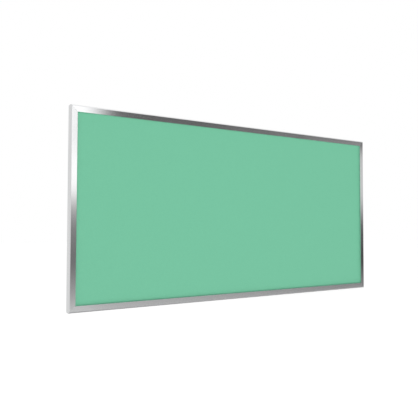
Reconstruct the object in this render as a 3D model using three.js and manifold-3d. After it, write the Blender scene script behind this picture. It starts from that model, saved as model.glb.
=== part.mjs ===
// Wall-hung framed pin board (bulletin board), 1200 x 600 x 25 mm.
// Millimetres, +X to the right as seen from the front, +Y into the wall, +Z up.
// The front of the board faces -Y. The origin is on the rear face of the top
// rail, half way along it, in the plane that touches the wall.
import * as THREE from 'three';
import { mergeVertices } from 'three/addons/utils/BufferGeometryUtils.js';
import Module from 'manifold-3d';

// ---------------------------------------------------------------- dimensions
const BOARD_W = 1200;          // overall width
const BOARD_H = 600;           // overall height
const BOARD_D = 25;            // overall depth, front face to wall plane
const TOP_Z = 6;               // top edge of the frame above the origin
const BOTTOM_Z = TOP_Z - BOARD_H;

// frame extrusion, section given as u (inward from the outer edge) and
// v (back from the front plane)
const FRAME_W = 20;            // width seen from the front
const OUTER_BEVEL = 4;         // 45 degree bevel along the outer front edge
const SKIN = 1.4;              // front skin, web and rear lip
const OUTER_WALL = 1.5;        // outer wall and rear flange
const WEB_U = 12.4;            // inner side of the web, and edge of the rear flange
const LIP_V = 4.8;             // edge of the front lip, over the pinning face
const REAR_LIP_V = 18.2;       // front side of the rear lip
const REAR_LIP_T = 1.3;
const MITRE_GAP = 0.1;         // each member stops this far short of the mitre

// panel layers, front to back
const PANEL_U = 13;            // edge of every layer, inward from the frame's outer edge
const FACE_V = 5.0, FACE_T = 2.0;        // coloured cork-linoleum face
const CORK_V = 7.1, CORK_T = 3.5;        // natural cork underlay
const CORE_V = 10.7, CORE_T = 6.0;       // fibreboard core
const BACK_V = 16.8, BACK_T = 1.2;       // hardboard backing sheet

// corner keys and their set screws
const KEY_U0 = 2.0, KEY_U1 = 10.5;       // the leg's sides in the chamber
const KEY_V0 = 18.8, KEY_T = 4.4;
const KEY_LEG = 48;
const SET_SCREW_AT = 30, SET_SCREW_U = 6.25;
const SET_SCREW_R = 2.5, SET_SCREW_L = 6, SET_SCREW_V = 24.7;
const SET_SCREW_HOLE_R = 2.8;

// hinged hangers on the rear lip of the top rail
const HANGER_X = 450;          // distance of each hanger from the centre
const HANGER_V = 19.6, HANGER_T = 1.0;
const HANGER_BAR_W = 50, HANGER_BAR_U0 = 12.8, HANGER_BAR_U1 = 24;
const HANGER_TONGUE_W = 10;
const PIVOT_U = 38;            // ring axis below the top edge
const WIRE_R = 1.2;            // ring wire radius
const KNUCKLE_RI = 1.5, KNUCKLE_RO = 2.5;
const PIVOT_V = HANGER_V + KNUCKLE_RO;
const RING_HALF_W = 11;        // half width of the ring at the wire's centre line
const RING_SIDE = 8;           // straight side of the ring
const RING_CORNER_R = 2.6;
const HANGER_SCREW_DX = 18, HANGER_SCREW_U = 16.6;
const HANGER_SCREW_R = 1.5, HANGER_HOLE_R = 1.8, HANGER_SCREW_L = 8.8;

// ------------------------------------------------------------------- helpers
const wasm = await Module();
wasm.setup();

function solid(geometry) {
  const g = geometry.clone();
  g.deleteAttribute('normal');
  g.deleteAttribute('uv');
  const m = mergeVertices(g, 1e-4);
  return new wasm.Manifold(new wasm.Mesh({
    numProp: 3,
    vertProperties: new Float32Array(m.attributes.position.array),
    triVerts: new Uint32Array(m.index.array),
  }));
}

function shape3(manifold) {
  const mesh = manifold.getMesh();
  const g = new THREE.BufferGeometry();
  g.setAttribute('position', new THREE.BufferAttribute(new Float32Array(mesh.vertProperties), 3));
  g.setIndex(new THREE.BufferAttribute(new Uint32Array(mesh.triVerts), 1));
  return g;
}

function cut(geometry, ...tools) {
  let s = solid(geometry);
  for (const t of tools) s = s.subtract(solid(t));
  return shape3(s);
}

function join(first, ...others) {
  let s = solid(first);
  for (const o of others) s = s.add(solid(o));
  return shape3(s);
}

// Moves every vertex with fn(x, y, z) -> [x, y, z] and keeps the faces outward.
function remap(geometry, fn) {
  const src = geometry.clone();
  src.deleteAttribute('normal');
  src.deleteAttribute('uv');
  const g = mergeVertices(src, 1e-4);
  const p = g.attributes.position;
  for (let i = 0; i < p.count; i++) {
    const [x, y, z] = fn(p.getX(i), p.getY(i), p.getZ(i));
    p.setXYZ(i, x, y, z);
  }
  const idx = g.index.array;
  let volume = 0;
  const a = new THREE.Vector3(), b = new THREE.Vector3(), c = new THREE.Vector3();
  for (let i = 0; i < idx.length; i += 3) {
    a.fromBufferAttribute(p, idx[i]);
    b.fromBufferAttribute(p, idx[i + 1]);
    c.fromBufferAttribute(p, idx[i + 2]);
    volume += a.dot(b.cross(c));
  }
  if (volume < 0) for (let i = 0; i < idx.length; i += 3) {
    const t = idx[i]; idx[i] = idx[i + 1]; idx[i + 1] = t;
  }
  return g;
}

function polygon(points) {
  return new THREE.Shape(points.map(([x, y]) => new THREE.Vector2(x, y)));
}

function prism(shape, depth, curveSegments = 12) {
  return new THREE.ExtrudeGeometry(shape, { depth, bevelEnabled: false, steps: 1, curveSegments });
}

// A round bar along Y, from y0 to y1.
function barY(r, x, y0, y1, z, segments = 20) {
  const g = new THREE.CylinderGeometry(r, r, y1 - y0, segments);
  g.translate(x, (y0 + y1) / 2, z);
  return g;
}

const depthY = (v) => v - BOARD_D;     // v from the front plane -> Y

const group = new THREE.Group();
group.name = 'bulletin_board';

function add(name, geometry, color, roughness, metalness) {
  const g = geometry.index ? geometry : mergeVertices(geometry);
  g.computeVertexNormals();
  const mesh = new THREE.Mesh(g, new THREE.MeshStandardMaterial({ color, roughness, metalness }));
  mesh.name = name;
  group.add(mesh);
  return mesh;
}

// --------------------------------------------------------- frame extrusions
const section = polygon([
  [0, OUTER_BEVEL], [OUTER_BEVEL, 0], [FRAME_W, 0], [FRAME_W, LIP_V],
  [FRAME_W - SKIN, LIP_V], [FRAME_W - SKIN, SKIN],
  [WEB_U, SKIN], [WEB_U, REAR_LIP_V], [FRAME_W, REAR_LIP_V],
  [FRAME_W, REAR_LIP_V + REAR_LIP_T], [WEB_U, REAR_LIP_V + REAR_LIP_T],
  [WEB_U, BOARD_D], [0, BOARD_D],
]);
section.holes.push(new THREE.Path([
  [OUTER_WALL, 4.6], [4.7, SKIN], [WEB_U - SKIN, SKIN],
  [WEB_U - SKIN, BOARD_D - OUTER_WALL], [OUTER_WALL, BOARD_D - OUTER_WALL],
].map(([x, y]) => new THREE.Vector2(x, y))));

const stick = prism(section, 1);
const half = BOARD_W / 2;

// Rails run along X and stiles along Z, all four cut at 45 degrees.
const railAt = (edge, inward) => remap(stick, (u, v, t) => [
  (t < 0.5 ? -1 : 1) * (half - u - MITRE_GAP), depthY(v), edge + inward * u,
]);
const stileAt = (side) => remap(stick, (u, v, t) => [
  side * (half - u), depthY(v),
  t < 0.5 ? BOTTOM_Z + u + MITRE_GAP : TOP_Z - u - MITRE_GAP,
]);

const rearHole = (x, z) => barY(SET_SCREW_HOLE_R, x, depthY(22.5), depthY(26), z);
const lipHole = (x) => barY(HANGER_HOLE_R, x, depthY(17.5), depthY(20.2), TOP_Z - HANGER_SCREW_U);
const hangerScrewXs = [-1, 1].flatMap((s) => [s * HANGER_X - HANGER_SCREW_DX, s * HANGER_X + HANGER_SCREW_DX]);
const railScrewX = half - SET_SCREW_AT;
const stileScrewTop = TOP_Z - SET_SCREW_AT, stileScrewBottom = BOTTOM_Z + SET_SCREW_AT;

const ALU = 0xc9cccf;
add('frame_top_rail', cut(railAt(TOP_Z, -1),
  rearHole(-railScrewX, TOP_Z - SET_SCREW_U), rearHole(railScrewX, TOP_Z - SET_SCREW_U),
  ...hangerScrewXs.map(lipHole)), ALU, 0.35, 1);
add('frame_bottom_rail', cut(railAt(BOTTOM_Z, 1),
  rearHole(-railScrewX, BOTTOM_Z + SET_SCREW_U), rearHole(railScrewX, BOTTOM_Z + SET_SCREW_U)), ALU, 0.35, 1);
for (const [name, side] of [['frame_left_stile', -1], ['frame_right_stile', 1]]) {
  add(name, cut(stileAt(side),
    rearHole(side * (half - SET_SCREW_U), stileScrewTop),
    rearHole(side * (half - SET_SCREW_U), stileScrewBottom)), ALU, 0.35, 1);
}

// ------------------------------------------------------------- panel layers
const panelW = BOARD_W - 2 * PANEL_U, panelH = BOARD_H - 2 * PANEL_U;
const midZ = (TOP_Z + BOTTOM_Z) / 2;
function layer(v, t) {
  const g = new THREE.BoxGeometry(panelW, t, panelH);
  g.translate(0, depthY(v + t / 2), midZ);
  return g;
}
const screwHole = (v0, v1) => (x) => barY(HANGER_HOLE_R, x, depthY(v0), depthY(v1), TOP_Z - HANGER_SCREW_U, 16);
add('pin_surface', layer(FACE_V, FACE_T), 0x79c3a2, 0.85, 0);
add('cork_underlay', layer(CORK_V, CORK_T), 0xb98a5a, 0.9, 0);
add('core_board', cut(layer(CORE_V, CORE_T), ...hangerScrewXs.map(screwHole(11.4, 17.4))), 0xa98f6b, 0.9, 0);
add('backing_sheet', cut(layer(BACK_V, BACK_T), ...hangerScrewXs.map(screwHole(16, 19))), 0x7a5a3c, 0.7, 0);

// ------------------------------------------------- corner keys, set screws
const keyPlan = polygon([
  [KEY_U0, KEY_U0], [KEY_LEG, KEY_U0], [KEY_LEG, KEY_U1], [KEY_U1, KEY_U1],
  [KEY_U1, KEY_LEG], [KEY_U0, KEY_LEG],
]);
for (const [x, y] of [[SET_SCREW_AT, SET_SCREW_U], [SET_SCREW_U, SET_SCREW_AT]]) {
  const hole = new THREE.Path();
  hole.absarc(x, y, SET_SCREW_HOLE_R, 0, Math.PI * 2, true);
  keyPlan.holes.push(hole);
}
const keyGeometry = prism(keyPlan, KEY_T, 10);

const setScrew = (() => {
  const r = SET_SCREW_R, l = SET_SCREW_L;
  const body = new THREE.LatheGeometry([
    [0, -l], [r - 1.1, -l], [r, -l + 1.1], [r, -0.4], [r - 0.4, 0], [0, 0],
  ].map(([a, b]) => new THREE.Vector2(a, b)), 20);
  const socket = new THREE.CylinderGeometry(1.45, 1.45, 5, 6);
  return cut(body, socket);
})();

for (const [tag, sx, sz] of [['top_left', -1, 1], ['top_right', 1, 1], ['bottom_left', -1, -1], ['bottom_right', 1, -1]]) {
  const X = (a) => sx * (half - a);
  const Z = (a) => (sz > 0 ? TOP_Z - a : BOTTOM_Z + a);
  add('corner_key_' + tag, remap(keyGeometry, (a, b, c) => [X(a), depthY(KEY_V0 + c), Z(b)]), 0x9a9da0, 0.5, 1);
  // the lathe runs along +Y with its socket end at zero, so it faces the wall
  const rail = setScrew.clone().translate(X(SET_SCREW_AT), depthY(SET_SCREW_V), Z(SET_SCREW_U));
  const stile = setScrew.clone().translate(X(SET_SCREW_U), depthY(SET_SCREW_V), Z(SET_SCREW_AT));
  add('set_screw_' + tag + '_rail', rail, 0x6d7073, 0.4, 1);
  add('set_screw_' + tag + '_stile', stile, 0x6d7073, 0.4, 1);
}

// ------------------------------------------------------------ hinged hangers
// Plan of the plate: a cross bar on the rear lip and a tongue down to the knuckle.
function hangerPlate(cx) {
  const w = HANGER_BAR_W / 2, t = HANGER_TONGUE_W / 2, r = 2.5;
  const u0 = HANGER_BAR_U0, u1 = HANGER_BAR_U1, u2 = PIVOT_U;
  const plan = new THREE.Shape();
  plan.moveTo(-w + r, u0);
  plan.lineTo(w - r, u0);
  plan.absarc(w - r, u0 + r, r, -Math.PI / 2, 0, false);
  plan.lineTo(w, u1 - r);
  plan.absarc(w - r, u1 - r, r, 0, Math.PI / 2, false);
  plan.lineTo(t + r, u1);
  plan.absarc(t + r, u1 + r, r, -Math.PI / 2, -Math.PI, true);
  plan.lineTo(t, u2);
  plan.lineTo(-t, u2);
  plan.lineTo(-t, u1 + r);
  plan.absarc(-t - r, u1 + r, r, 0, -Math.PI / 2, true);
  plan.lineTo(-w + r, u1);
  plan.absarc(-w + r, u1 - r, r, Math.PI / 2, Math.PI, false);
  plan.lineTo(-w, u0 + r);
  plan.absarc(-w + r, u0 + r, r, Math.PI, Math.PI * 1.5, false);
  for (const dx of [-HANGER_SCREW_DX, HANGER_SCREW_DX]) {
    const h = new THREE.Path();
    h.absarc(dx, HANGER_SCREW_U, HANGER_HOLE_R, 0, Math.PI * 2, true);
    plan.holes.push(h);
  }
  const plate = remap(prism(plan, HANGER_T, 5), (x, u, v) => [cx + x, depthY(HANGER_V + v), TOP_Z - u]);

  // knuckle: the tongue's end rolled round the ring's bar, open by a small slot
  const n = 16, from = -Math.PI / 2, sweep = Math.PI * 2 * 0.82;
  const pts = [];
  for (let i = 0; i <= n; i++) {
    const a = from + sweep * i / n;
    pts.push([PIVOT_U + KNUCKLE_RO * Math.cos(a), PIVOT_V + KNUCKLE_RO * Math.sin(a)]);
  }
  for (let i = n; i >= 0; i--) {
    const a = from + sweep * i / n;
    pts.push([PIVOT_U + KNUCKLE_RI * Math.cos(a), PIVOT_V + KNUCKLE_RI * Math.sin(a)]);
  }
  pts.push([PIVOT_U - 1, HANGER_V + HANGER_T], [PIVOT_U - 1, HANGER_V]);
  const roll = remap(prism(polygon(pts), HANGER_TONGUE_W - 0.02),
    (u, v, x) => [cx + x - HANGER_TONGUE_W / 2 + 0.01, depthY(v), TOP_Z - u]);
  return join(plate, roll);
}

// Closed wire ring in the shape of a D, made by bending a torus onto its path.
function hangerRing(cx) {
  const W = RING_HALF_W, S = RING_SIDE, c = RING_CORNER_R;
  const path = new THREE.CurvePath();
  const P = (x, z) => new THREE.Vector3(x, 0, z);
  const arc = (ox, oz, r, a0, a1, parts) => {
    let last = P(ox + r * Math.cos(a0), oz + r * Math.sin(a0));
    for (let i = 1; i <= parts; i++) {
      const a = a0 + (a1 - a0) * i / parts;
      const next = P(ox + r * Math.cos(a), oz + r * Math.sin(a));
      path.add(new THREE.LineCurve3(last, next));
      last = next;
    }
  };
  // centre line of the wire, x across and z down from the pivot
  path.add(new THREE.LineCurve3(P(-W + c, 0), P(0, 0)));
  path.add(new THREE.LineCurve3(P(0, 0), P(W - c, 0)));
  arc(W - c, -c, c, Math.PI / 2, 0, 5);
  path.add(new THREE.LineCurve3(P(W, -c), P(W, -S)));
  arc(0, -S, W, 0, -Math.PI, 20);
  path.add(new THREE.LineCurve3(P(-W, -S), P(-W, -c)));
  arc(-W + c, -c, c, Math.PI, Math.PI / 2, 5);
  const nodes = path.curves.map((k) => k.v1);
  const m = nodes.length;
  const torus = new THREE.TorusGeometry(10, WIRE_R, 10, m);
  return remap(torus, (x, y, z) => {
    const turn = (Math.atan2(y, x) + Math.PI * 2) % (Math.PI * 2);
    const i = Math.round(turn / (Math.PI * 2) * m) % m;
    const out = Math.hypot(x, y) - 10;
    const here = nodes[i], before = nodes[(i + m - 1) % m], after = nodes[(i + 1) % m];
    const d1 = here.clone().sub(before).normalize(), d2 = after.clone().sub(here).normalize();
    const d = d1.clone().add(d2).normalize();
    const k = 1 / Math.max(0.6, d.dot(d2));
    // the path runs clockwise seen from the front, so its left side is outward
    return [cx + here.x - d.z * out * k, depthY(PIVOT_V) + z, TOP_Z - PIVOT_U + here.z + d.x * out * k];
  });
}

// Pan-head screw with a cross recess, head towards the wall.
const hangerScrew = (() => {
  const l = HANGER_SCREW_L, r = HANGER_SCREW_R;
  const body = new THREE.LatheGeometry([
    [0, -l], [0.5, -l + 0.6], [r, -l + 2.6], [r, 0], [3.1, 0], [3.1, 0.7],
    [2.8, 1.2], [2.1, 1.55], [1.0, 1.7], [0, 1.75],
  ].map(([a, b]) => new THREE.Vector2(a, b)), 20);
  const slotA = new THREE.BoxGeometry(2.8, 2.2, 0.6).translate(0, 1.8, 0);
  const slotB = new THREE.BoxGeometry(0.6, 2.2, 2.8).translate(0, 1.8, 0);
  return cut(body, slotA, slotB);
})();

for (const [tag, s] of [['left', -1], ['right', 1]]) {
  const cx = s * HANGER_X;
  add('hanger_plate_' + tag, hangerPlate(cx), 0xb9bcbe, 0.4, 1);
  add('hanger_ring_' + tag, hangerRing(cx), 0xc4c7c9, 0.25, 1);
  for (const [side, dx] of [['outer', s * HANGER_SCREW_DX], ['inner', -s * HANGER_SCREW_DX]]) {
    add('hanger_screw_' + tag + '_' + side,
      hangerScrew.clone().translate(cx + dx, depthY(HANGER_V + HANGER_T + 0.12), TOP_Z - HANGER_SCREW_U),
      0x8d9093, 0.35, 1);
  }
}

export default group;
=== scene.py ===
"""Looks for the framed bulletin board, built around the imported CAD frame."""

import math

import bpy
import bmesh
from mathutils import Vector, Matrix


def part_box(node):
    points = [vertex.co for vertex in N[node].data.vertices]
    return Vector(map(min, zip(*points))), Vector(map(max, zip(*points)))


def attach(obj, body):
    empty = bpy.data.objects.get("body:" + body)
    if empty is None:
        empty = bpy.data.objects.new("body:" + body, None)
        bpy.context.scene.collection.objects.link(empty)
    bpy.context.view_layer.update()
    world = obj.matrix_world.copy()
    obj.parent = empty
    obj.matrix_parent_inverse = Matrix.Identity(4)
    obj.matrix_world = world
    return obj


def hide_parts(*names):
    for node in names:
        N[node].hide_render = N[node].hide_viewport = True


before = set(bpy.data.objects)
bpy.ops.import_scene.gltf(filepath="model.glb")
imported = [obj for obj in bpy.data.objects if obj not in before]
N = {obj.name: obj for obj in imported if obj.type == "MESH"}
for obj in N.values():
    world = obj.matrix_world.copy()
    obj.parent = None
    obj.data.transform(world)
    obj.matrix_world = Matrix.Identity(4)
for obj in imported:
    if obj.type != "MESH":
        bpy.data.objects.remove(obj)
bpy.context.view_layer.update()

# --------------------------------------------------------------------------
# small node-tree helpers
# --------------------------------------------------------------------------


class Mat:
    """A node material with short calls for the nodes used here."""

    def __init__(self, name):
        self.m = bpy.data.materials.new(name)
        self.m.use_nodes = True
        self.t = self.m.node_tree
        self.t.nodes.clear()
        self.out = self.t.nodes.new("ShaderNodeOutputMaterial")
        self.b = self.t.nodes.new("ShaderNodeBsdfPrincipled")
        self.link(self.b.outputs[0], self.out.inputs["Surface"])
        self.coords = self.t.nodes.new("ShaderNodeTexCoord")

    def link(self, a, b):
        self.t.links.new(a, b)

    def set(self, **kw):
        names = {
            "color": "Base Color", "rough": "Roughness", "metal": "Metallic",
            "aniso": "Anisotropic", "coat": "Coat Weight", "coat_rough": "Coat Roughness",
            "sheen": "Sheen Weight", "sheen_rough": "Sheen Roughness", "ior": "IOR",
            "spec": "Specular IOR Level", "normal": "Normal", "tangent": "Tangent",
            "sheen_tint": "Sheen Tint",
        }
        for k, v in kw.items():
            socket = self.b.inputs[names[k]]
            if isinstance(v, bpy.types.NodeSocket):
                self.link(v, socket)
            else:
                socket.default_value = v
        return self

    def mapping(self, scale=(1, 1, 1), loc=(0, 0, 0), rot=(0, 0, 0), source=None):
        n = self.t.nodes.new("ShaderNodeMapping")
        n.inputs["Scale"].default_value = scale
        n.inputs["Location"].default_value = loc
        n.inputs["Rotation"].default_value = rot
        self.link(source or self.coords.outputs["Object"], n.inputs["Vector"])
        return n.outputs[0]

    def noise(self, vec, scale=5.0, detail=3.0, rough=0.5, distort=0.0, out="Fac"):
        n = self.t.nodes.new("ShaderNodeTexNoise")
        n.inputs["Scale"].default_value = scale
        n.inputs["Detail"].default_value = detail
        n.inputs["Roughness"].default_value = rough
        n.inputs["Distortion"].default_value = distort
        self.link(vec, n.inputs["Vector"])
        return n.outputs[out]

    def voronoi(self, vec, scale=5.0, feature="F1", out="Distance", smooth=None, random=1.0):
        n = self.t.nodes.new("ShaderNodeTexVoronoi")
        n.feature = feature
        n.inputs["Scale"].default_value = scale
        n.inputs["Randomness"].default_value = random
        if smooth is not None and "Smoothness" in n.inputs:
            n.inputs["Smoothness"].default_value = smooth
        self.link(vec, n.inputs["Vector"])
        return n.outputs[out]

    def ramp(self, fac, stops, interp="LINEAR"):
        n = self.t.nodes.new("ShaderNodeValToRGB")
        n.color_ramp.interpolation = interp
        e = n.color_ramp.elements
        while len(e) > 1:
            e.remove(e[-1])
        for i, (pos, col) in enumerate(stops):
            el = e[0] if i == 0 else e.new(pos)
            el.position = pos
            if not hasattr(col, "__len__"):
                col = (col, col, col)
            el.color = (*col, 1)
        self.link(fac, n.inputs[0])
        return n.outputs[0]

    def mix(self, fac, a, b, mode="MIX"):
        n = self.t.nodes.new("ShaderNodeMix")
        n.data_type = "RGBA"
        n.blend_type = mode
        n.clamp_factor = True
        for v, i in ((fac, 0), (a, 6), (b, 7)):
            if isinstance(v, bpy.types.NodeSocket):
                self.link(v, n.inputs[i])
            elif i == 0:
                n.inputs[i].default_value = v
            else:
                n.inputs[i].default_value = (*v, 1) if len(v) == 3 else v
        return n.outputs[2]

    def math(self, op, a, b=0.0, c=0.0, clamp=False):
        n = self.t.nodes.new("ShaderNodeMath")
        n.operation = op
        n.use_clamp = clamp
        for i, v in enumerate((a, b, c)):
            if i >= len(n.inputs):
                break
            if isinstance(v, bpy.types.NodeSocket):
                self.link(v, n.inputs[i])
            else:
                n.inputs[i].default_value = v
        return n.outputs[0]

    def range(self, v, lo, hi, to_lo, to_hi, smooth=False):
        n = self.t.nodes.new("ShaderNodeMapRange")
        n.interpolation_type = "SMOOTHSTEP" if smooth else "LINEAR"
        self.link(v, n.inputs["Value"])
        n.inputs["From Min"].default_value = lo
        n.inputs["From Max"].default_value = hi
        n.inputs["To Min"].default_value = to_lo
        n.inputs["To Max"].default_value = to_hi
        return n.outputs["Result"]

    def bump(self, height, strength=0.3, dist=0.0003, normal=None):
        n = self.t.nodes.new("ShaderNodeBump")
        n.inputs["Strength"].default_value = strength
        n.inputs["Distance"].default_value = dist
        self.link(height, n.inputs["Height"])
        if normal is not None:
            self.link(normal, n.inputs["Normal"])
        return n.outputs[0]

    def vec(self, x, y, z):
        n = self.t.nodes.new("ShaderNodeCombineXYZ")
        for i, v in enumerate((x, y, z)):
            if isinstance(v, bpy.types.NodeSocket):
                self.link(v, n.inputs[i])
            else:
                n.inputs[i].default_value = v
        return n.outputs[0]

    def xyz(self, source=None):
        n = self.t.nodes.new("ShaderNodeSeparateXYZ")
        self.link(source or self.coords.outputs["Object"], n.inputs[0])
        return n.outputs


def srgb(r, g, b):
    def f(c):
        c /= 255
        return c / 12.92 if c <= 0.04045 else ((c + 0.055) / 1.055) ** 2.4
    return (f(r), f(g), f(b))


# --------------------------------------------------------------------------
# materials
# --------------------------------------------------------------------------


def brushed_aluminium(name, axis):
    """Satin extruded aluminium, drawn and brushed along axis ('X' or 'Z')."""
    k = Mat(name)
    along, across = 6.0, 2600.0
    fine = (along, across, across) if axis == "X" else (across, across, along)
    broad = (3.0, 420.0, 420.0) if axis == "X" else (420.0, 420.0, 3.0)
    hair = k.noise(k.mapping(fine), 1.0, 3.0, 0.6)
    band = k.noise(k.mapping(broad, loc=(3.1, 7.7, 1.3)), 1.0, 2.0, 0.5)
    cloud = k.noise(k.mapping((9, 9, 9)), 1.0, 2.0, 0.5)
    tone = k.mix(0.35, k.ramp(hair, [(0.25, 0.72), (0.75, 0.94)]), k.ramp(band, [(0.3, 0.77), (0.7, 0.91)]))
    tint = k.mix(0.4, tone, (0.85, 0.865, 0.88), "MIX")
    rough = k.math("ADD", k.range(hair, 0.2, 0.8, 0.10, 0.145), k.range(cloud, 0.3, 0.7, -0.01, 0.012))
    k.set(color=tint, metal=1.0, rough=rough, aniso=0.85)
    # across the grain on every face of the section, walls and bevels included
    geo = k.t.nodes.new("ShaderNodeNewGeometry")
    across_grain = k.t.nodes.new("ShaderNodeVectorMath")
    across_grain.operation = "CROSS_PRODUCT"
    k.link(geo.outputs["Normal"], across_grain.inputs[0])
    across_grain.inputs[1].default_value = (1, 0, 0) if axis == "X" else (0, 0, 1)
    k.set(tangent=across_grain.outputs[0])
    k.set(normal=k.bump(hair, 0.05, 0.00003))
    return k.m


def pin_face():
    """Mint cork-linoleum: pigmented fine granulate, matte, with a low skin relief."""
    k = Mat("mint_cork_linoleum")
    at = k.mapping()
    warp = k.noise(at, 260.0, 2.0, 0.5, out="Color")
    shifted = k.t.nodes.new("ShaderNodeVectorMath")
    shifted.operation = "MULTIPLY_ADD"
    k.link(warp, shifted.inputs[0])
    shifted.inputs[1].default_value = (0.0016, 0.0016, 0.0016)
    k.link(at, shifted.inputs[2])
    p = shifted.outputs[0]
    grain = k.voronoi(p, 620.0, out="Color")
    grain_v = k.xyz(grain)[0]
    edge = k.voronoi(p, 620.0, feature="DISTANCE_TO_EDGE")
    big = k.voronoi(p, 210.0, out="Color")
    big_v = k.xyz(big)[1]
    fleck = k.noise(at, 1500.0, 2.0, 0.6)
    cloud = k.noise(at, 7.0, 3.0, 0.55)

    base = srgb(115, 191, 157)
    light = srgb(119, 195, 161)
    deep = srgb(109, 186, 152)
    warm = srgb(121, 190, 149)
    c = k.mix(k.range(grain_v, 0.0, 1.0, 0.0, 1.0), deep, light)
    c = k.mix(k.range(big_v, 0.2, 0.9, 0.45, 0.7), c, base)
    c = k.mix(k.range(fleck, 0.62, 0.74, 0.0, 0.45), c, warm)
    c = k.mix(k.range(fleck, 0.26, 0.36, 0.30, 0.0), c, srgb(96, 170, 138))
    c = k.mix(k.range(cloud, 0.35, 0.65, 0.0, 0.05), c, srgb(118, 192, 160))
    rough = k.range(fleck, 0.3, 0.7, 0.62, 0.74)
    h = k.math("ADD", k.range(edge, 0.0, 0.12, 0.0, 1.0), k.math("MULTIPLY", fleck, 0.5))
    k.set(color=c, rough=rough, spec=0.3, normal=k.bump(h, 0.16, 0.0001))
    return k.m


def natural_cork():
    k = Mat("natural_cork")
    at = k.mapping()
    cells = k.voronoi(at, 330.0, out="Color")
    v = k.xyz(cells)[0]
    edge = k.voronoi(at, 330.0, feature="DISTANCE_TO_EDGE")
    n = k.noise(at, 900.0, 3.0, 0.6)
    c = k.ramp(v, [(0.0, srgb(140, 96, 58)), (0.35, srgb(184, 136, 88)), (0.7, srgb(203, 158, 108)), (1.0, srgb(165, 117, 73))])
    c = k.mix(k.range(edge, 0.0, 0.08, 0.65, 0.0), c, srgb(88, 54, 30))
    c = k.mix(k.range(n, 0.6, 0.75, 0.0, 0.5), c, srgb(98, 62, 36))
    h = k.math("ADD", k.range(edge, 0.0, 0.15, 0.0, 1.0), n)
    k.set(color=c, rough=0.88, normal=k.bump(h, 0.5, 0.0003))
    return k.m


def fibreboard():
    k = Mat("soft_fibreboard")
    at = k.mapping()
    fib = k.noise(k.mapping((500, 2400, 900)), 1.0, 4.0, 0.65, 0.6)
    n = k.noise(at, 60.0, 3.0, 0.5)
    c = k.ramp(fib, [(0.25, srgb(132, 104, 70)), (0.5, srgb(168, 138, 98)), (0.8, srgb(196, 168, 126))])
    c = k.mix(k.range(n, 0.4, 0.7, 0.0, 0.3), c, srgb(150, 122, 84))
    k.set(color=c, rough=0.93, normal=k.bump(fib, 0.6, 0.0003))
    return k.m


def hardboard():
    """Rear face of a wet-process hardboard: pressed wire-mesh pattern and dark fibres."""
    k = Mat("screen_back_hardboard")
    at = k.mapping()
    o = k.xyz()
    wob = k.noise(at, 26.0, 2.0, 0.5)
    pitch = 2.1
    fx = k.math("SINE", k.math("ADD", k.math("MULTIPLY", o[0], 2000 * math.pi / pitch), k.math("MULTIPLY", wob, 1.6)))
    fz = k.math("SINE", k.math("ADD", k.math("MULTIPLY", o[2], 2000 * math.pi / pitch), k.math("MULTIPLY", wob, 1.6)))
    mesh = k.math("MULTIPLY", fx, fz)
    dimple = k.math("MAXIMUM", k.math("ABSOLUTE", fx), k.math("ABSOLUTE", fz))
    fib = k.noise(k.mapping((240, 900, 640)), 1.0, 4.0, 0.65, 1.2)
    cloud = k.noise(at, 9.0, 4.0, 0.6)
    c = k.ramp(fib, [(0.25, srgb(84, 56, 34)), (0.5, srgb(116, 80, 50)), (0.78, srgb(146, 106, 70))])
    c = k.mix(k.range(cloud, 0.35, 0.7, 0.0, 0.45), c, srgb(98, 66, 41))
    c = k.mix(k.range(mesh, -0.8, 0.8, 0.0, 0.35), c, srgb(74, 48, 29))
    h = k.math("ADD", k.math("MULTIPLY", dimple, -0.8), k.math("MULTIPLY", fib, 0.5))
    k.set(color=c, rough=k.range(fib, 0.3, 0.7, 0.62, 0.82), spec=0.4, normal=k.bump(h, 0.55, 0.0003))
    return k.m


def zinc_plate(name, dark=1.0, blue=1.0, rough=0.34, tang=None):
    k = Mat(name)
    at = k.mapping()
    spangle = k.voronoi(at, 340.0, out="Color")
    v = k.xyz(spangle)[0]
    n = k.noise(at, 140.0, 3.0, 0.6)
    fine = k.noise(at, 2600.0, 2.0, 0.6)
    a = tuple(min(1, x * dark) for x in (0.52, 0.535, 0.56 * blue))
    b = tuple(min(1, x * dark) for x in (0.70, 0.71, 0.73 * blue))
    c = k.mix(v, a, b)
    c = k.mix(k.range(n, 0.55, 0.75, 0.0, 0.35), c, tuple(x * 0.72 for x in a))
    r = k.math("ADD", k.range(n, 0.3, 0.7, rough - 0.06, rough + 0.08), k.range(v, 0, 1, -0.03, 0.03))
    k.set(color=c, metal=1.0, rough=r, normal=k.bump(fine, 0.12, 0.00005))
    return k.m


def nickel_wire():
    k = Mat("nickel_wire")
    at = k.mapping()
    n = k.noise(at, 700.0, 3.0, 0.6)
    draw = k.noise(at, 4000.0, 2.0, 0.6)
    c = k.mix(k.range(n, 0.45, 0.7, 0.0, 0.6), (0.80, 0.775, 0.73), (0.62, 0.60, 0.57))
    k.set(color=c, metal=1.0, rough=k.range(n, 0.3, 0.7, 0.14, 0.24), normal=k.bump(draw, 0.08, 0.00004))
    return k.m


def cast_key():
    k = Mat("cast_zinc_key")
    at = k.mapping()
    n = k.noise(at, 900.0, 4.0, 0.65)
    c = k.mix(n, (0.42, 0.43, 0.45), (0.58, 0.59, 0.60))
    k.set(color=c, metal=1.0, rough=k.range(n, 0.3, 0.7, 0.42, 0.58), normal=k.bump(n, 0.3, 0.00015))
    return k.m


def paint(node, material):
    data = N[node].data
    if data.materials:
        for i in range(len(data.materials)):
            data.materials[i] = material
    else:
        data.materials.append(material)


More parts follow.
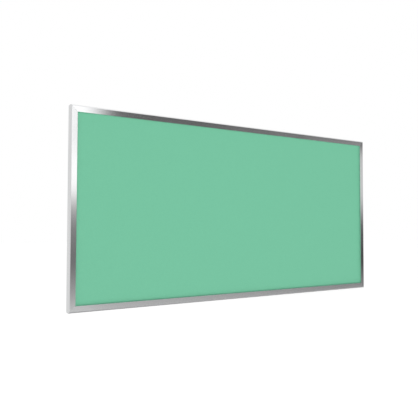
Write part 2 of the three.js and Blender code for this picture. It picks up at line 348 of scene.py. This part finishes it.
alu_x, alu_z = brushed_aluminium("brushed_aluminium_rail", "X"), brushed_aluminium("brushed_aluminium_stile", "Z")
paint("frame_top_rail", alu_x)
paint("frame_bottom_rail", alu_x)
paint("frame_left_stile", alu_z)
paint("frame_right_stile", alu_z)
paint("pin_surface", pin_face())
paint("cork_underlay", natural_cork())
paint("core_board", fibreboard())
paint("backing_sheet", hardboard())
key_mat, set_mat = cast_key(), zinc_plate("set_screw_steel", 0.55, 1.0, 0.36)
screw_mat, plate_mat, ring_mat = zinc_plate("zinc_screw", 0.95, 1.05, 0.26), zinc_plate("zinc_pressed_sheet"), nickel_wire()
for name in N:
    if name.startswith("corner_key"):
        paint(name, key_mat)
    elif name.startswith("set_screw"):
        paint(name, set_mat)
    elif name.startswith("hanger_screw"):
        paint(name, screw_mat)
    elif name.startswith("hanger_plate"):
        paint(name, plate_mat)
    elif name.startswith("hanger_ring"):
        paint(name, ring_mat)

# --------------------------------------------------------------------------
# surfaces: the CAD meshes come as loose triangles, and stay as they are. Each
# piece that wants finer edges or shading gets a copy that stands for its node.
# --------------------------------------------------------------------------


def stand_in(node, smooth):
    """A welded copy of a node's surface, riding on the board in the node's place."""
    src = N[node]
    me = src.data.copy()
    me.name = node + "_surface"
    for poly in me.polygons:
        poly.use_smooth = smooth
    ob = bpy.data.objects.new(node + "_surface", me)
    bpy.context.scene.collection.objects.link(ob)
    bpy.context.view_layer.update()
    ob.matrix_world = src.matrix_world.copy()
    weld = ob.modifiers.new("weld", "WELD")
    weld.merge_threshold = 0.000002
    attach(ob, "board")
    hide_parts(node)
    return ob


def broken_edges(node, width, segments):
    """Flat faces made whole again, then a fine break along every real edge."""
    ob = stand_in(node, False)
    flat = ob.modifiers.new("whole_faces", "DECIMATE")
    flat.decimate_type = "DISSOLVE"
    flat.angle_limit = math.radians(0.5)
    mod = ob.modifiers.new("broken_edges", "BEVEL")
    mod.width = width
    mod.segments = segments
    mod.limit_method = "ANGLE"
    mod.angle_limit = math.radians(30)
    mod.use_clamp_overlap = True


def smooth_by_angle(node, degrees):
    """Smooth shading that keeps edges sharper than the angle."""
    ob = stand_in(node, True)
    split = ob.modifiers.new("sharp_edges", "EDGE_SPLIT")
    split.split_angle = math.radians(degrees)
    split.use_edge_sharp = False


SMOOTHED = (
    ("hanger_screw", "screw_steel"),
    ("set_screw", "set_screw_steel"),
    ("hanger_plate", "hanger_zinc_plate"),
    ("corner_key", "key_zinc"),
    ("core_board", "fibreboard_core"),
    ("backing_sheet", "hardboard_back"),
)
for name in sorted(N):
    if name.startswith("frame_"):
        broken_edges(name, 0.0002, 2)
    for start, slot in SMOOTHED:
        if name.startswith(start):
            smooth_by_angle(name, 35)


def wire_ring(name, node, body):
    """The D-ring as truly round wire, on the same centre line as its CAD solid."""
    r, W, S, c = 0.0012, 0.011, 0.008, 0.0026
    lo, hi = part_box(node)
    centre = Vector(((lo.x + hi.x) / 2, (lo.y + hi.y) / 2, hi.z - r))
    path = []

    def arc(ox, oz, rad, a0, a1, parts):
        for i in range(parts + 1):
            a = a0 + (a1 - a0) * i / parts
            path.append((ox + rad * math.cos(a), oz + rad * math.sin(a), math.cos(a), math.sin(a)))

    arc(W - c, -c, c, math.pi / 2, 0, 10)
    arc(0, -S, W, 0, -math.pi, 48)
    arc(-W + c, -c, c, math.pi, math.pi / 2, 10)
    for i in range(1, 8):                 # the straight bar in the knuckle
        path.append((-W + c + 2 * (W - c) * i / 8, 0.0, 0.0, 1.0))
    bm = bmesh.new()
    sides = 20
    rings = []
    for x, z, nx, nz in path:
        rings.append([bm.verts.new((
            centre.x + x + r * math.cos(2 * math.pi * j / sides) * nx,
            centre.y + r * math.sin(2 * math.pi * j / sides),
            centre.z + z + r * math.cos(2 * math.pi * j / sides) * nz)) for j in range(sides)])
    for i in range(len(rings)):
        p, q = rings[i], rings[(i + 1) % len(rings)]
        for j in range(sides):
            k = (j + 1) % sides
            bm.faces.new((p[j], q[j], q[k], p[k]))
    bmesh.ops.recalc_face_normals(bm, faces=bm.faces)
    for f in bm.faces:
        f.smooth = True
    me = bpy.data.meshes.new(name)
    bm.to_mesh(me)
    bm.free()
    me.materials.append(ring_mat)
    ob = bpy.data.objects.new(name, me)
    bpy.context.scene.collection.objects.link(ob)
    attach(ob, body)
    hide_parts(node)
    return ob


wire_ring("wire_ring_left", "hanger_ring_left", "ring_left")
wire_ring("wire_ring_right", "hanger_ring_right", "ring_right")

# --------------------------------------------------------------------------
# studio: pale floor, soft lights, camera at the photograph's viewing angle
# --------------------------------------------------------------------------
FLOOR_Z = -1.45


def emission_free(name, color, rough):
    m = bpy.data.materials.new(name)
    m.use_nodes = True
    b = m.node_tree.nodes["Principled BSDF"]
    b.inputs["Base Color"].default_value = (*color, 1)
    b.inputs["Roughness"].default_value = rough
    b.inputs["Specular IOR Level"].default_value = 0.2
    b.inputs["Emission Color"].default_value = (1, 1, 1, 1)
    b.inputs["Emission Strength"].default_value = 0.75
    return m


bpy.ops.mesh.primitive_plane_add(size=60, location=(0, 0, FLOOR_Z))
floor = bpy.context.object
floor.name = "floor"
floor.data.materials.append(emission_free("pale_floor", (0.93, 0.93, 0.925), 0.9))

floor.visible_glossy = False          # metal sees the studio's tones below the horizon instead

world = bpy.data.worlds.new("studio_world")
bpy.context.scene.world = world
world.use_nodes = True
wt = world.node_tree
wt.nodes.clear()


def wnode(kind, **props):
    n = wt.nodes.new(kind)
    for k, v in props.items():
        setattr(n, k, v)
    return n


def wmath(op, a, b=0.0):
    n = wnode("ShaderNodeMath", operation=op)
    for i, v in enumerate((a, b)):
        if isinstance(v, bpy.types.NodeSocket):
            wt.links.new(v, n.inputs[i])
        else:
            n.inputs[i].default_value = v
    return n.outputs[0]


# What glossy surfaces see: tones by height above and below the horizon, in
# degrees, for the side in front of the board and for the side behind it.
FRONT = [(-90, 0.34), (-34, 0.42), (-16, 0.98), (-11, 0.86), (-8.4, 0.44), (-4.4, 0.20), (0, 0.29), (2, 0.46), (4.3, 1.36), (30, 1.20), (90, 1.15)]
RIGHT = [(-90, 0.34), (-30, 0.44), (-14, 0.98), (-8, 0.36), (-4.0, 0.06), (0, 0.13), (3.4, 0.66), (7.9, 0.63), (9.3, 0.09), (26, 0.09), (48, 0.6), (90, 1.1)]
BEHIND = [(-90, 0.40), (-40, 0.50), (-12, 0.78), (0, 0.77), (8, 0.75), (30, 0.80), (60, 0.95), (90, 1.1)]


def by_height(z, stops):
    n = wnode("ShaderNodeValToRGB")
    e = n.color_ramp.elements
    while len(e) > 1:
        e.remove(e[-1])
    e[0].position = 0
    for i, (deg, v) in enumerate(stops):
        el = e[0] if i == 0 else e.new(0.5 + 0.5 * deg / 90)
        el.color = (v / 1.4, v / 1.4, v / 1.4, 1)
    wt.links.new(z, n.inputs[0])
    return n.outputs[0]


w_tex = wnode("ShaderNodeTexCoord")
w_norm = wnode("ShaderNodeVectorMath", operation="NORMALIZE")
wt.links.new(w_tex.outputs["Generated"], w_norm.inputs[0])
w_xyz = wnode("ShaderNodeSeparateXYZ")
wt.links.new(w_norm.outputs[0], w_xyz.inputs[0])
height = wmath("ADD", wmath("MULTIPLY", wmath("ARCSINE", w_xyz.outputs[2]), 1 / math.pi), 0.5)
left_tone, right_tone, behind_tone = (by_height(height, t) for t in (FRONT, RIGHT, BEHIND))
# the softbox stands to the left of the middle; the studio is darker to its right
turn = wnode("ShaderNodeMapRange", interpolation_type="SMOOTHSTEP")
wt.links.new(w_xyz.outputs[0], turn.inputs["Value"])
turn.inputs["From Min"].default_value = 0.258
turn.inputs["From Max"].default_value = 0.332
front_mix = wnode("ShaderNodeMix", data_type="RGBA")
wt.links.new(turn.outputs["Result"], front_mix.inputs[0])
wt.links.new(left_tone, front_mix.inputs[6])
wt.links.new(right_tone, front_mix.inputs[7])
front_tone = front_mix.outputs[2]
side = wnode("ShaderNodeMapRange", interpolation_type="SMOOTHSTEP")
wt.links.new(w_xyz.outputs[1], side.inputs["Value"])
side.inputs["From Min"].default_value = -0.58
side.inputs["From Max"].default_value = -0.30
tone = wnode("ShaderNodeMix", data_type="RGBA")
wt.links.new(side.outputs["Result"], tone.inputs[0])
wt.links.new(front_tone, tone.inputs[6])
wt.links.new(behind_tone, tone.inputs[7])
w_seen = wnode("ShaderNodeBackground")
wt.links.new(tone.outputs[2], w_seen.inputs["Color"])
w_seen.inputs["Strength"].default_value = 1.4
w_air = wnode("ShaderNodeBackground")
w_air.inputs["Color"].default_value = (1.0, 1.0, 1.0, 1)
w_air.inputs["Strength"].default_value = 0.26
w_back = wnode("ShaderNodeBackground")
w_back.inputs["Color"].default_value = (1.0, 1.0, 1.0, 1)
w_back.inputs["Strength"].default_value = 1.0
w_path = wnode("ShaderNodeLightPath")
mix_a, mix_b = wnode("ShaderNodeMixShader"), wnode("ShaderNodeMixShader")
# only a direct reflection sees the tones; light that has bounced off the board sees the plain studio
direct = wmath("SUBTRACT", 1.0, wmath("MINIMUM", w_path.outputs["Diffuse Depth"], 1.0))
wt.links.new(wmath("MULTIPLY", w_path.outputs["Is Glossy Ray"], direct), mix_a.inputs[0])
wt.links.new(w_air.outputs[0], mix_a.inputs[1])
wt.links.new(w_seen.outputs[0], mix_a.inputs[2])
wt.links.new(w_path.outputs["Is Camera Ray"], mix_b.inputs[0])
wt.links.new(mix_a.outputs[0], mix_b.inputs[1])
wt.links.new(w_back.outputs[0], mix_b.inputs[2])
w_out = wnode("ShaderNodeOutputWorld")
wt.links.new(mix_b.outputs[0], w_out.inputs["Surface"])


def area(name, loc, target, size, size_y, power, color=(1, 1, 1)):
    d = bpy.data.lights.new(name, "AREA")
    d.shape = "RECTANGLE"
    d.size, d.size_y = size, size_y
    d.energy = power
    d.color = color
    o = bpy.data.objects.new(name, d)
    bpy.context.scene.collection.objects.link(o)
    o.location = loc
    o.rotation_euler = (Vector(target) - Vector(loc)).to_track_quat("-Z", "Y").to_euler()
    o.visible_glossy = False
    return o


area("key_softbox", (-1.1, -3.9, 0.5), (0, 0, -0.3), 2.2, 1.8, 46)
area("fill_softbox", (1.9, -3.7, 0.2), (0, 0, -0.3), 2.2, 1.8, 23)
area("back_softbox", (1.5, 3.0, 2.2), (0, 0, -0.3), 2.6, 2.0, 40)

cam_data = bpy.data.cameras.new("camera")
cam_data.sensor_width = 36.0
cam_data.lens = 41.605
cam_data.clip_start = 0.01
cam_data.clip_end = 200
cam = bpy.data.objects.new("camera", cam_data)
bpy.context.scene.collection.objects.link(cam)
right = Vector((0.861779, -0.507277, 0.002675))
up = Vector((-0.019747, -0.028278, 0.999405))
back = Vector((-0.506900, -0.861319, -0.034387))
rot = Matrix((right, up, back)).transposed()
cam.matrix_world = Matrix.Translation((-0.95574, -1.41314, -0.34289)) @ rot.to_4x4()
bpy.context.scene.camera = cam

bpy.context.scene.view_settings.view_transform = "Standard"
bpy.context.scene.view_settings.look = "None"
